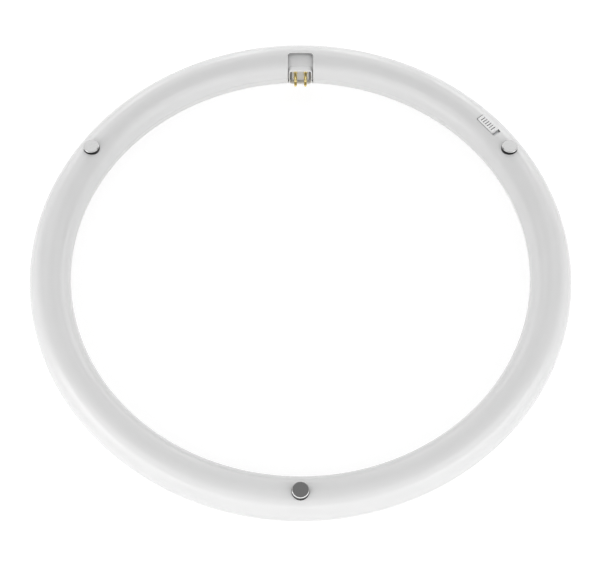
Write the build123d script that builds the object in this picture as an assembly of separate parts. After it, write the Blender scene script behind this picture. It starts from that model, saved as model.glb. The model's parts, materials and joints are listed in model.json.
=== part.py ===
from build123d import *
import os
from math import cos, asin, degrees, radians, sqrt

os.makedirs("parts", exist_ok=True)

# Driving dimensions of the ring, in millimetres and degrees
ring_diameter = 400.0
tube_diameter = 30.0
shell_wall = 1.5
seam_gap = 0.15
seat_gap = 0.1

# Lap joint between the two half shells
tongue_wall = 0.7
tongue_height = 2.9
tongue_gap = 0.05

# Ledge that the LED boards press against
ledge_reach = 2.1
ledge_thickness = 0.8

# Magnets on the crown
magnet_diameter = 12.0
magnet_height = 5.0
magnet_stand = 2.4
magnet_chamfer = 0.5
magnet_gap = 0.05
magnet_cup_wall = 1.3
magnet_angles = {"magnet_right": 30.0, "magnet_left": 150.0, "magnet_front": 270.0}

# Plug block in its swivelling drum
plug_angle = 90.0
plug_width = 18.6
plug_height = 17.6
plug_stand = 0.9
plug_corner = 3.0
plug_swing = 45.0
plug_side_gap = 0.7
plug_end_gap = 0.65
rim_side = 0.8
rim_top = 1.2
moat_width = 1.6
moat_depth = 5.0
pedestal_recess = 2.4
pedestal_corner = 2.4
well_corner = 2.6
well_floor = 2.0
drum_wall = 1.5
drum_overlap = 1.5
drum_gap = 0.8
drum_spare_angle = 8.0
slot_corner = 2.5

# Trunnions of the drum and the bulkheads that carry them
trunnion_radius = 4.0
trunnion_bore = 2.2
trunnion_end = 1.0
bearing_gap = 0.06
bulkhead_thickness = 2.0
bulkhead_gap = 0.5
bulkhead_side_gap = 0.6

# Contact pins and what joins them
pin_spacing_across = 8.0
pin_spacing_up = 6.35
pin_radius = 1.15
pin_reach = 6.6
pin_tip = 1.6
pin_tip_radius = 0.55
pin_collar_radius = 1.5
pin_collar = 0.4
pin_flare = 0.9
pin_tail = 1.6
pin_tail_radius = 0.9
pin_gap = 0.03
strap_width = 3.0
strap_thickness = 0.5
strap_end = 2.0
strap_corner = 1.0
lead_radius = 0.65
lead_offset = 0.75
lead_bend = 2.5
cable_radius = 1.6
cable_bend = 4.0
cable_rise_length = 5.0
cable_run = 6.0
sheath_start = 8.0

# Slide switch on the crown
switch_angle = 38.0
slider_length = 17.0
slider_width = 6.3
slider_stand = 0.9
slider_gap = 0.3
slider_end_gap = 0.8
slider_travel = 1.8
slider_corner = 0.8
slider_edge = 0.4
slider_groove_count = 6
slider_groove_width = 0.8
slider_groove_depth = 1.1
slider_groove_pitch = 2.3
slider_groove_margin = 0.8
stem_length = 4.0
stem_width = 2.4
case_width = 7.4
case_wall = 0.5
case_end = 0.8
case_gap = 0.2
base_thickness = 1.0
terminal_radius = 0.4
terminal_head_radius = 0.8
terminal_head = 0.3
terminal_pitch = 3.0
terminal_gap = 0.1
contact_length = 5.0
contact_thickness = 0.9
contact_gap = 0.3

# LED boards
led_board_count = 4
led_board_thickness = 1.0
led_board_side_gap = 0.2
led_board_end_gap = 0.3
led_bay_gap = 2.0
led_count = 20
led_length = 3.5
led_width = 2.8
led_height = 0.8
link_length = 6.0
link_width = 1.6
link_thickness = 0.3
link_pitch = 4.0
link_count = 3

# Driver board and its components
driver_thickness = 1.0
driver_side_gap = 2.2
driver_end = 2.0
post_radius = 2.2
post_inset = 4.0
post_offset = -5.0
dome_gap = 1.2
bulk_capacitor_diameter = 5.0
bulk_capacitor_length = 11.0
bulk_capacitor_neck = 0.3
bulk_capacitor_neck_inset = 1.65
choke_diameter = 7.0
choke_height = 4.6
choke_flange = 0.9
choke_waist = 1.1
rectifier_size = (4.7, 3.9, 2.4)
chip_size = (4.9, 3.9, 1.6)
fuse_radius = 1.5
fuse_length = 7.0
fuse_cap = 1.4
fuse_cap_step = 0.15
output_capacitor_diameter = 5.0
output_capacitor_height = 4.4
part_gap = 0.02
header_length = 7.6
header_width = 2.5
header_pitch = 2.54
header_pin_radius = 0.35
header_pin_gap = 0.04
header_inset = 9.0

# Where the components stand, as shares of the way from the cable's end to the switch
fuse_share = 0.1
rectifier_share = 0.25
bulk_capacitor_share = 0.42
choke_share = 0.58
chip_share = 0.72
output_capacitor_share = 0.85

# Sizes worked out from the driving dimensions
tube_radius = tube_diameter / 2
bore_radius = tube_radius - shell_wall
ring_radius = ring_diameter / 2 - tube_radius
axis_height = tube_radius
crown_height = tube_radius
rebate_radius = bore_radius + tongue_wall + tongue_gap
wall_bite = shell_wall / 4
ledge_level = tongue_height + seat_gap + led_board_thickness

slot_width = plug_width + 2 * plug_side_gap
block_half_angle = degrees(asin(plug_height / 2 / bore_radius))
plug_end_angle = degrees(plug_end_gap / bore_radius)
slot_low = -block_half_angle - plug_end_angle
slot_high = block_half_angle + plug_swing + plug_end_angle
drum_length = slot_width + 2 * drum_overlap
drum_sagitta = ring_radius - sqrt(ring_radius**2 - (drum_length / 2) ** 2)
drum_radius = bore_radius - drum_gap
drum_end_radius = drum_radius - drum_sagitta
drum_cover_angle = slot_high + drum_spare_angle
bulkhead_face = drum_length / 2 + bulkhead_gap
bulkhead_back = bulkhead_face + bulkhead_thickness
trunnion_tip = bulkhead_back + trunnion_end
plug_face = drum_radius + plug_stand
pedestal_level = plug_face - pedestal_recess
moat_level = plug_face - moat_depth
block_back = moat_level - well_floor
pin_end = plug_face + pin_reach

tallest_component = max(bulk_capacitor_diameter, choke_height, output_capacitor_height)
driver_top = bore_radius - tallest_component - dome_gap
driver_level = driver_top - driver_thickness
window_length = slider_length + slider_travel + 2 * slider_end_gap
window_width = slider_width + 2 * slider_gap
slider_shift = slider_travel / 2
case_length = window_length + 2 * case_end
case_top = sqrt(bore_radius**2 - (case_width / 2) ** 2) - case_gap
slider_low = case_top + case_gap / 2
contact_low = driver_top + base_thickness + terminal_head + contact_gap
stem_height = slider_low - contact_low - contact_thickness
stem_slot = stem_length + slider_travel + 2 * slider_gap


def chord(radius, height):
    """Half width of a circle at a height above its centre."""
    return sqrt(radius**2 - height**2)


def arc_angle(length):
    """Ring angle that a length along the tube's axis takes up."""
    return degrees(length / ring_radius)


def section_plane(angle):
    """Plane across the tube at a ring angle: x points outwards and y points up."""
    outward = Vector(1, 0, 0).rotate(Axis.Z, angle)
    normal = Vector(0, -1, 0).rotate(Axis.Z, angle)
    centre = outward * ring_radius + Vector(0, 0, axis_height)
    return Plane(origin=centre, x_dir=outward, z_dir=normal)


def tube_place(angle, outward=0.0, along=0.0, up=0.0):
    """Place on the tube at a ring angle: x points outwards, y along the ring and z up."""
    centre = Vector(ring_radius + outward, along, axis_height + up).rotate(Axis.Z, angle)
    return Location(centre, (0, 0, angle))


def full_torus(radius):
    """Solid ring of a given section radius about the tube's axis."""
    return Pos(0, 0, axis_height) * Torus(ring_radius, radius)


def wall_band(outer, inner, low, high):
    """Part of a round wall's section between two heights above the tube's axis."""
    band = Pos(0, (low + high) / 2) * Rectangle(2 * tube_diameter, high - low)
    return (Circle(outer) - Circle(inner)) & band


def upright_box(size_out, size_along, height):
    """Box that stands on its own place."""
    return Box(size_out, size_along, height, align=(Align.CENTER, Align.CENTER, Align.MIN))


def upright_cylinder(radius, height):
    """Cylinder that stands on its own place."""
    return Cylinder(radius, height, align=(Align.CENTER, Align.CENTER, Align.MIN))


def cross_cylinder(radius, low, high):
    """Cylinder along x between two stations on the swivel's axis."""
    axis_place = Plane(origin=(low, 0, 0), x_dir=(0, 1, 0), z_dir=(1, 0, 0))
    return extrude(axis_place * Circle(radius), amount=high - low)


# The plug's own place: x along the swivel's axis, y up its face and z out of its face
plug_place = Plane(origin=(0, ring_radius, axis_height), x_dir=(1, 0, 0), z_dir=(0, -1, 0)).location
swivel_place = Pos(0, ring_radius, axis_height)
driver_start = plug_angle - arc_angle(bulkhead_back + trunnion_end + cable_bend + cable_rise_length)
driver_stop = switch_angle - arc_angle(case_length / 2 + driver_end)


def plug_slot():
    """Cutter for the slot in which the plug block swings, rounded at its corners."""
    face = Plane(origin=(slot_width / 2, ring_radius, axis_height), x_dir=(0, -1, 0), z_dir=(-1, 0, 0))
    reach = 2 * tube_diameter
    middle = (slot_low + slot_high) / 2
    rays = [Vector(reach, 0).rotate(Axis.Z, angle) for angle in (slot_low, middle, slot_high)]
    fan = Polygon((0, 0), *[(ray.X, ray.Y) for ray in rays], align=None)
    ring = Circle(tube_radius + shell_wall) - Circle(drum_end_radius)
    cutter = extrude(face * (fan & ring), amount=slot_width)
    for angle in (slot_low, slot_high):
        ray = Vector(0, -1, 0).rotate(Axis.X, -angle)
        cutter = fillet(cutter.edges().filter_by(Axis((0, 0, 0), ray)), slot_corner)
    return cutter


def bulkheads(half_width, low, high):
    """Two walls across the bore, each with the bearing for a trunnion."""
    station = bulkhead_face + bulkhead_thickness / 2
    walls = Part()
    for side in (-1, 1):
        slab = Box(bulkhead_thickness, 2 * half_width, high - low)
        walls += Pos(side * station, ring_radius, axis_height + (low + high) / 2) * slab
    walls = walls & full_torus(bore_radius + wall_bite)
    bearing = swivel_place * cross_cylinder(trunnion_radius + bearing_gap, -trunnion_tip, trunnion_tip)
    return walls - bearing


def back_housing():
    """Upper half shell with its ledges, bulkheads, magnet cups, driver posts and cut-outs."""
    profile = wall_band(tube_radius, bore_radius, 0, tube_diameter)
    profile -= wall_band(rebate_radius, bore_radius - shell_wall, -tube_radius, ledge_level)
    shell = revolve(section_plane(0) * profile, axis=Axis.Z)

    led_start, led_arc = led_span()
    ledge_tip = chord(bore_radius, ledge_level) - ledge_reach
    ledge_width = ledge_reach + wall_bite
    ledge = Rectangle(ledge_width, ledge_thickness, align=(Align.MIN, Align.MIN))
    ledges = Pos(ledge_tip, ledge_level) * ledge
    ledges += Pos(-ledge_tip - ledge_width, ledge_level) * ledge
    shell += revolve(section_plane(led_start) * ledges, axis=Axis.Z, revolution_arc=led_arc)

    tongue_side = chord(bore_radius, tongue_height) - bulkhead_side_gap
    shell += bulkheads(tongue_side, 0, tube_radius)

    inside = full_torus(bore_radius + wall_bite)
    seat = crown_height + magnet_stand - magnet_height
    pocket_radius = magnet_diameter / 2 + magnet_gap
    cup_radius = pocket_radius + magnet_cup_wall
    for angle in magnet_angles.values():
        cup = tube_place(angle, up=seat - magnet_cup_wall) * upright_cylinder(cup_radius, tube_radius)
        pocket = tube_place(angle, up=seat) * upright_cylinder(pocket_radius, tube_radius)
        shell += cup & inside
        shell -= pocket
    near_switch = switch_angle + arc_angle(case_length / 2 + post_inset)
    for angle in (driver_start - arc_angle(post_inset), near_switch):
        post = tube_place(angle, post_offset, up=driver_top) * upright_cylinder(post_radius, tube_radius)
        shell += post & inside

    window = extrude(RectangleRounded(window_width, window_length, slider_corner), amount=tube_radius)
    shell -= tube_place(switch_angle, up=case_top) * window
    return shell - plug_slot()


def front_diffuser():
    """Lower half shell with the tongue of the lap joint and the lower bulkheads."""
    profile = wall_band(tube_radius, bore_radius, -tube_diameter, -seam_gap)
    profile += wall_band(bore_radius + tongue_wall, bore_radius, -seam_gap - tongue_wall, tongue_height)
    shell = revolve(section_plane(0) * profile, axis=Axis.Z)
    shell += bulkheads(tube_radius, -tube_radius, -seam_gap)
    return shell - plug_slot()


def magnet(angle):
    """Disc magnet with a chamfered upper rim, seated in its cup."""
    disc = upright_cylinder(magnet_diameter / 2, magnet_height)
    disc = chamfer(disc.edges().group_by(Axis.Z)[-1], magnet_chamfer)
    return tube_place(angle, up=crown_height + magnet_stand - magnet_height) * disc


def pin_places():
    """Centres of the four contact pins on the plug's face, row by row."""
    across = pin_spacing_across / 2
    up = pin_spacing_up / 2
    return [(-across, up), (across, up), (-across, -up), (across, -up)]


def drum_barrel():
    """Barrel about the swivel's axis, crowned to follow the ring's own curve."""
    half = drum_length / 2
    outline = Line((-half, 0), (-half, drum_end_radius))
    outline += ThreePointArc((-half, drum_end_radius), (0, drum_radius), (half, drum_end_radius))
    outline += Polyline((half, drum_end_radius), (half, 0), (-half, 0))
    return revolve(make_face(outline), axis=Axis.X)


def plug_drum():
    """Half barrel with end discs, hollow trunnions and the rimmed block that stands out of the slot."""
    half = drum_length / 2
    inner_half = half - drum_wall
    barrel = drum_barrel() - cross_cylinder(drum_end_radius - drum_wall, -inner_half, inner_half)
    back_cut = drum_end_radius * cos(radians(drum_cover_angle))
    behind = upright_box(2 * drum_length, 3 * drum_radius, 2 * drum_radius)
    drum = barrel - Pos(0, 0, back_cut - 2 * drum_radius) * behind
    hub_radius = trunnion_radius + drum_wall
    for low, high in ((-half, -inner_half), (inner_half, half)):
        drum += cross_cylinder(hub_radius, low, high)
    for low, high in ((-trunnion_tip, -inner_half), (inner_half, trunnion_tip)):
        drum += cross_cylinder(trunnion_radius, low, high)

    block = extrude(RectangleRounded(plug_width, plug_height, plug_corner), amount=plug_face - block_back)
    drum += Pos(0, 0, block_back) * block
    well_width = plug_width - 2 * rim_side
    well_height = plug_height - rim_top - rim_side
    well_place = Pos(0, (rim_side - rim_top) / 2)
    well = well_place * RectangleRounded(well_width, well_height, well_corner)
    pedestal_size = (well_width - 2 * moat_width, well_height - 2 * moat_width)
    pedestal = well_place * RectangleRounded(*pedestal_size, pedestal_corner)
    drum -= Pos(0, 0, pedestal_level) * extrude(well, amount=drum_radius)
    drum -= Pos(0, 0, moat_level) * extrude(well - pedestal, amount=drum_radius)
    for across, up in pin_places():
        drum -= Pos(across, up, 0) * upright_cylinder(pin_tail_radius + pin_gap, plug_face)
    for low, high in ((-trunnion_tip, -inner_half), (inner_half, trunnion_tip)):
        drum -= cross_cylinder(trunnion_bore, low, high)
    return plug_place * drum


def contact_pin(across, up):
    """Round pin with a flared collar on the pedestal, a tapered tip and a thinner tail through the block."""
    tail = block_back - pin_tail
    collar_top = pedestal_level + pin_collar
    outline = [
        (0, tail),
        (pin_tail_radius, tail),
        (pin_tail_radius, pedestal_level),
        (pin_collar_radius, pedestal_level),
        (pin_collar_radius, collar_top),
        (pin_radius, collar_top + pin_flare),
        (pin_radius, pin_end - pin_tip),
        (pin_tip_radius, pin_end),
        (0, pin_end),
    ]
    profile = make_face(Polyline(*outline, close=True))
    pin = revolve(Plane.XZ * profile, axis=Axis.Z)
    return plug_place * Pos(across, up, 0) * pin


def pin_bridge(side):
    """Strap behind the block that joins the upper and the lower pin of one side."""
    length = pin_spacing_up + 2 * strap_end
    strap = extrude(RectangleRounded(strap_width, length, strap_corner), amount=strap_thickness)
    for up in (-pin_spacing_up / 2, pin_spacing_up / 2):
        strap -= Pos(0, up, 0) * Cylinder(pin_tail_radius + pin_gap, 4 * strap_thickness)
    return plug_place * Pos(side * pin_spacing_across / 2, 0, block_back - strap_thickness) * strap


def plug_leads():
    """Two wires from the straps that enter one round sheath on the swivel's axis."""
    leads = cross_cylinder(cable_radius, sheath_start, bulkhead_face + bulkhead_thickness / 2)
    start = block_back - strap_thickness
    for side in (-1, 1):
        across = side * pin_spacing_across / 2
        up = side * lead_offset
        route = [(across, up, start), (across, up, 0), (sheath_start + lead_bend, up, 0)]
        path = FilletPolyline(*route, radius=lead_bend)
        leads += sweep(Plane(origin=route[0], z_dir=(0, 0, -1)) * Circle(lead_radius), path=path)
    return plug_place * leads


def supply_cable():
    """Sheathed cable from the trunnion's bore up to the driver board, on which its end lies."""
    start = bulkhead_face + bulkhead_thickness / 2 + seam_gap
    turn = trunnion_tip + cable_bend / 2
    rest = driver_top + cable_radius + part_gap
    landing = turn + cable_rise_length
    route = [(start, 0, 0), (turn, 0, 0), (landing, 0, rest), (landing + cable_run, 0, rest)]
    path = FilletPolyline(*route, radius=cable_bend)
    cable = sweep(Plane(origin=route[0], z_dir=(1, 0, 0)) * Circle(cable_radius), path=path)
    return swivel_place * cable


def switch_slider():
    """Ribbed cap with the stem that reaches into the switch."""
    cap_height = crown_height + slider_stand - slider_low
    cap = extrude(RectangleRounded(slider_width, slider_length, slider_corner), amount=cap_height)
    cap = fillet(cap.edges().group_by(Axis.Z)[-1], slider_edge)
    groove_length = slider_width - 2 * slider_groove_margin
    for index in range(slider_groove_count):
        along = (index - (slider_groove_count - 1) / 2) * slider_groove_pitch
        groove = Box(groove_length, slider_groove_width, 2 * slider_groove_depth)
        cap -= Pos(0, along, cap_height) * groove
    stem = Pos(0, 0, -stem_height) * upright_box(stem_width, stem_length, stem_height + cap_height / 2)
    return tube_place(switch_angle, along=slider_shift, up=slider_low) * (cap + stem)


def switch_contact():
    """Contact strip under the slider's stem."""
    strip = upright_box(stem_width, contact_length, contact_thickness)
    return tube_place(switch_angle, along=slider_shift, up=contact_low) * strip


def switch_case():
    """Sheet-metal case, open below, with the slot for the slider's stem."""
    height = case_top - driver_top
    case = upright_box(case_width, case_length, height)
    case -= upright_box(case_width - 2 * case_wall, case_length - 2 * case_wall, height - case_wall)
    case -= upright_box(stem_width + 2 * slider_gap, stem_slot, 2 * height)
    return tube_place(switch_angle, up=driver_top) * case


def terminal_places():
    """Stations of the switch's terminals along the ring."""
    return (-terminal_pitch, 0, terminal_pitch)


def switch_base():
    """Insulating base that closes the case from below."""
    side = case_wall + case_gap / 2
    base = upright_box(case_width - 2 * side, case_length - 2 * side, base_thickness)
    for along in terminal_places():
        base -= Pos(0, along, 0) * Cylinder(terminal_radius + pin_gap, 4 * base_thickness)
    return tube_place(switch_angle, up=driver_top) * base


def switch_terminals():
    """Three riveted terminals through the base and the driver board."""
    low = driver_level
    shank = driver_top + base_thickness - low
    terminals = []
    for along in terminal_places():
        rivet = upright_cylinder(terminal_radius, shank)
        rivet += Pos(0, 0, shank) * upright_cylinder(terminal_head_radius, terminal_head)
        terminals.append(tube_place(switch_angle, along=along, up=low) * rivet)
    return terminals


def led_span():
    """Ring angle where the LED boards start, and the angle that they cover in all."""
    start = plug_angle + arc_angle(bulkhead_back + led_bay_gap)
    return start, 360 - (start - driver_start)


def led_board_angles(index):
    """Start and extent of one LED board, with half a gap left at each end."""
    start, arc = led_span()
    each = arc / led_board_count
    gap = arc_angle(led_board_end_gap)
    return start + index * each + gap / 2, each - gap


def led_board(index):
    """Ring-shaped board that spans the tube under the ledges."""
    start, arc = led_board_angles(index)
    half_width = chord(rebate_radius, ledge_level) - led_board_side_gap
    section = Pos(0, ledge_level - led_board_thickness / 2) * Rectangle(2 * half_width, led_board_thickness)
    return revolve(section_plane(start) * section, axis=Axis.Z, revolution_arc=arc)


def led_chips(index):
    """Row of chips on the lower face of one board."""
    start, arc = led_board_angles(index)
    low = ledge_level - led_board_thickness - led_height
    chip = upright_box(led_width, led_length, led_height)
    step = arc / led_count
    return [tube_place(start + step * (number + 0.5), up=low) * chip for number in range(led_count)]


def board_links():
    """Bridges across the joints between the boards, on their lower faces."""
    start, arc = led_span()
    low = ledge_level - led_board_thickness - link_thickness
    link = upright_box(link_width, link_length, link_thickness)
    links = []
    for joint in range(1, led_board_count):
        for number in range(link_count):
            outward = (number - (link_count - 1) / 2) * link_pitch
            links.append(tube_place(start + arc * joint / led_board_count, outward, up=low) * link)
    return links


def driver_board():
    """Curved board under the dome, between the plug and the switch."""
    half_width = chord(bore_radius, driver_top) - driver_side_gap
    section = Pos(0, driver_top - driver_thickness / 2) * Rectangle(2 * half_width, driver_thickness)
    arc = driver_start - driver_stop
    board = revolve(section_plane(driver_stop) * section, axis=Axis.Z, revolution_arc=arc)
    for along in terminal_places():
        hole = upright_cylinder(terminal_radius + terminal_gap, 4 * driver_thickness)
        board -= tube_place(switch_angle, along=along, up=driver_level - driver_thickness) * hole
    return board


def driver_place(share):
    """Place on top of the driver board, as a share of the way from the plug's post to the switch."""
    first = driver_start - arc_angle(post_inset + cable_run)
    last = switch_angle + arc_angle(case_length / 2 + post_inset)
    return tube_place(first + (last - first) * share, up=driver_top)


def input_fuse():
    """Tubular fuse with an end cap at each end, lying across the board's length."""
    lie = driver_place(fuse_share) * Pos(0, 0, fuse_radius + part_gap) * Rot(-90, 0, 0)
    body = lie * Cylinder(fuse_radius - fuse_cap_step, fuse_length)
    for side in (-1, 1):
        body += lie * Pos(0, 0, side * (fuse_length - fuse_cap) / 2) * Cylinder(fuse_radius, fuse_cap)
    return body


def bridge_rectifier():
    """Flat moulded rectifier."""
    out, along, height = rectifier_size
    return driver_place(rectifier_share) * upright_box(out, along, height)


def bulk_capacitor():
    """Lying can with a rolled neck near its sealed end."""
    radius = bulk_capacitor_diameter / 2
    lie = driver_place(bulk_capacitor_share) * Pos(0, 0, radius + part_gap) * Rot(-90, 0, 0)
    can = Cylinder(radius, bulk_capacitor_length)
    neck = Cylinder(radius, 2 * bulk_capacitor_neck)
    neck -= Cylinder(radius - bulk_capacitor_neck, bulk_capacitor_length)
    return lie * (can - Pos(0, 0, bulk_capacitor_length / 2 - bulk_capacitor_neck_inset) * neck)


def filter_choke():
    """Bobbin choke: two flanges with the winding between them."""
    radius = choke_diameter / 2
    choke = upright_cylinder(radius - choke_waist, choke_height)
    for low in (0, choke_height - choke_flange):
        choke += Pos(0, 0, low) * upright_cylinder(radius, choke_flange)
    return driver_place(choke_share) * choke


def driver_chip():
    """Flat moulded control chip."""
    out, along, height = chip_size
    return driver_place(chip_share) * upright_box(out, along, height)


def output_capacitor():
    """Upright can beside the switch."""
    can = upright_cylinder(output_capacitor_diameter / 2, output_capacitor_height)
    return driver_place(output_capacitor_share) * can


def header_angles():
    """Ring angles of the two headers between the driver board and the LED board."""
    first = driver_start - arc_angle(header_inset)
    last = switch_angle + arc_angle(case_length / 2 + header_inset)
    return first, last


def header_places():
    """Stations of a header's pins across the board."""
    return (-header_pitch, 0, header_pitch)


def header_spacers():
    """Insulating bars that hold the driver board off the LED board."""
    height = driver_level - ledge_level
    hole = upright_cylinder(header_pin_radius + header_pin_gap, height)
    bars = []
    for angle in header_angles():
        bar = upright_box(header_length, header_width, height)
        for across in header_places():
            bar -= Pos(across, 0, 0) * hole
        bars.append(tube_place(angle, up=ledge_level) * bar)
    return bars


def header_pins():
    """Pins through the spacers, from the LED board to the driver board."""
    height = driver_level - ledge_level
    pin = upright_cylinder(header_pin_radius, height)
    pins = []
    for angle in header_angles():
        for across in header_places():
            pins.append(tube_place(angle, across, up=ledge_level) * pin)
    return pins


def save(node, shape):
    """Write one node, a single piece or a group of like pieces."""
    if isinstance(shape, list):
        shape = Compound(children=shape)
    shape.label = node
    export_step(shape, f"parts/{node}.step")


save("back_housing", back_housing())
save("front_diffuser", front_diffuser())
for name, angle in magnet_angles.items():
    save(name, magnet(angle))

save("plug_drum", plug_drum())
for number, (across, up) in enumerate(pin_places(), start=1):
    save(f"contact_pin_{number}", contact_pin(across, up))
save("pin_bridge_left", pin_bridge(-1))
save("pin_bridge_right", pin_bridge(1))
save("plug_leads", plug_leads())
save("supply_cable", supply_cable())

save("switch_slider", switch_slider())
save("switch_contact", switch_contact())
save("switch_case", switch_case())
save("switch_base", switch_base())
save("switch_terminals", switch_terminals())

for index in range(led_board_count):
    save(f"led_board_{index + 1}", led_board(index))
    save(f"led_chips_{index + 1}", led_chips(index))
save("board_links", board_links())

save("driver_board", driver_board())
save("input_fuse", input_fuse())
save("bridge_rectifier", bridge_rectifier())
save("bulk_capacitor", bulk_capacitor())
save("filter_choke", filter_choke())
save("driver_chip", driver_chip())
save("output_capacitor", output_capacitor())
save("header_spacers", header_spacers())
save("header_pins", header_pins())
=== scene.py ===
import json
from math import asin, cos, pi, radians, sin, sqrt

import bpy
from mathutils import Matrix, Vector


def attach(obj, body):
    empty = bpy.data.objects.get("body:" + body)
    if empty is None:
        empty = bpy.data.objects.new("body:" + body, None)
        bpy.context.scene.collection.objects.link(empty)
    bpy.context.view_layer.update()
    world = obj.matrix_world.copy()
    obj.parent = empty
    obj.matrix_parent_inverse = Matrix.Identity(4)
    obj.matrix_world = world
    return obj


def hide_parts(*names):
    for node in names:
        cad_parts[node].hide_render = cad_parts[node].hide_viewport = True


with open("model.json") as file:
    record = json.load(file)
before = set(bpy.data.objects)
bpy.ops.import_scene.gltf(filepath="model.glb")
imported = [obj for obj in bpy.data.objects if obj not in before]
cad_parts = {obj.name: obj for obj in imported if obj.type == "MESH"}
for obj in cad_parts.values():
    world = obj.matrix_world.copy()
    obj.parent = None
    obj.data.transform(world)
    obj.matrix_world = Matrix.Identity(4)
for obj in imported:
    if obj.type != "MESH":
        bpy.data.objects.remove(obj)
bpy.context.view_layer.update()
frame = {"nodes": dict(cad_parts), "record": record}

# All sizes are in metres
mm = 0.001

# Middle of the ring on the floor, and the way up
origin = (0, 0, 0)
upwards = (0, 0, 1)

# Ring and tube
ring_radius = 185.0 * mm
tube_radius = 15.0 * mm
bore_radius = 13.5 * mm
axis_height = tube_radius

# Lap joint, ledges and seam of the two half shells
seam_gap = 0.05 * mm
rebate_radius = 14.25 * mm
tongue_radius = 14.2 * mm
tongue_height = 2.9 * mm
ledge_level = 4.0 * mm
ledge_thickness = 0.8 * mm
ledge_reach = 2.1 * mm
bay_clearance = 0.05 * mm
wall_bite = 0.375 * mm
core_radius = bore_radius + wall_bite

# Ring angles of what stands on the tube, in degrees
plug_angle = 90.0
switch_angle = 38.0
magnet_angles = {"magnet_right": 30.0, "magnet_left": 150.0, "magnet_front": 270.0}
ledge_gap_angles = (82.57, 94.955)
post_angles = (81.33, 42.65)

# Magnets and the cups that hold them, with levels from the tube's axis
magnet_radius = 6.0 * mm
magnet_height = 5.0 * mm
magnet_stand = 2.4 * mm
magnet_chamfer = 0.5 * mm
magnet_edge = 0.08 * mm
magnet_top = tube_radius + magnet_stand
magnet_seat = magnet_top - magnet_height
pocket_radius = 6.12 * mm
pocket_lip = 0.25 * mm
cup_radius = 7.35 * mm
cup_floor = 1.3 * mm

# Plug slot and swivelling drum, with angles in degrees
slot_width = 20.0 * mm
slot_angles = (-43.5, 88.5)
slot_corner = 2.5 * mm
slot_lip = 0.45 * mm
slot_depth = 2.6 * mm
swivel_centre = Vector((0, ring_radius, axis_height))
drum_half = 11.5 * mm
drum_inner_half = 10.0 * mm
drum_radius = 12.7 * mm
drum_wall = 1.5 * mm
drum_cover = 96.5
hub_radius = 5.5 * mm
trunnion_radius = 4.0 * mm
trunnion_bore = 2.2 * mm
trunnion_tip = 15.0 * mm
bearing_radius = 4.06 * mm
bulkhead_face = 12.0 * mm
bulkhead_thickness = 2.0 * mm
bulkhead_half_width = 12.58 * mm

# Plug block and its pins, with levels from the swivel's axis
plug_width = 18.6 * mm
plug_height = 17.6 * mm
plug_corner = 3.0 * mm
plug_face = 13.6 * mm
block_back = 6.6 * mm
rim_side = 0.8 * mm
rim_top = 1.2 * mm
rim_edge = 0.28 * mm
moat_width = 1.6 * mm
moat_level = 8.6 * mm
pedestal_level = 11.2 * mm
pin_pitch_across = 8.0 * mm
pin_pitch_up = 6.35 * mm
pin_places = [
    (side * pin_pitch_across / 2, row * pin_pitch_up / 2) for row in (1, -1) for side in (-1, 1)
]
pin_radius = 1.15 * mm
pin_end = 20.2 * mm
pin_tip = 1.6 * mm
pin_tip_radius = 0.55 * mm
pin_collar_radius = 1.5 * mm
pin_collar = 0.4 * mm
pin_flare = 0.9 * mm
pin_edge = 0.1 * mm
pin_tail_radius = 0.9 * mm
pin_tail_end = 5.0 * mm
pin_hole_radius = 0.93 * mm

# Slide switch and its window, with levels from the tube's axis
slider_length = 17.0 * mm
slider_width = 6.3 * mm
slider_shift = 0.9 * mm
slider_low = 12.883 * mm
slider_top = 15.9 * mm
slider_corner = 0.8 * mm
slider_edge = 0.4 * mm
slider_fine_edge = 0.1 * mm
groove_count = 6
groove_pitch = 2.3 * mm
groove_width = 0.8 * mm
groove_depth = 1.1 * mm
groove_margin = 0.8 * mm
groove_half = slider_width / 2 - groove_margin
groove_places = [(index - (groove_count - 1) / 2) * groove_pitch for index in range(groove_count)]
stem_width = 2.4 * mm
stem_length = 4.0 * mm
stem_low = 9.8 * mm
window_width = 6.9 * mm
window_length = 20.4 * mm
window_lip = 0.35 * mm
window_floor = 11.5 * mm

# Posts that hold the driver board
post_radius = 2.2 * mm
post_offset = -5.0 * mm
post_low = 7.3 * mm

# How finely the round shapes are divided, with the ring's own steps in degrees
full_turn = 360.0
coarse_step = 1.5
fine_step = 0.4
fine_arcs = ((24.0, 46.0), (82.0, 98.0), (146.0, 154.0), (266.0, 274.0))
arc_steps = 64
bore_steps = 48
rebate_steps = 6
bay_steps = 24
core_steps = 360
disc_steps = 128
post_steps = 96
bearing_steps = 64
drum_steps = 128
crown_steps = 24
pin_steps = 48
flare_steps = 8
tip_steps = 12
nose_steps = 6

# Cutters and tolerances
cutter_rise = 2.0 * mm
crown_sink = 2.0 * mm
lip_steps = 5
lip_first_turn = radians(15.0)
grid_step = 0.8 * mm
merge_distance = 0.002 * mm
cut_tolerance = 0.001 * mm
level_tolerance = 0.01 * mm
facing_up = 0.999

# Finishes: noise in features per metre, and how steeply the painted shade tones end past an edge
cloud_scale = 45.0
fine_scale = 900.0
noise_low = 0.3
noise_high = 0.7
grain_depth = 0.1 * mm
well_steepness = 100.0
groove_steepness = 10.0
tone_step = 0.1 * mm
tone_span = (axis_height, 3 * axis_height)
groove_floor = axis_height + slider_top - groove_depth

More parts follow.
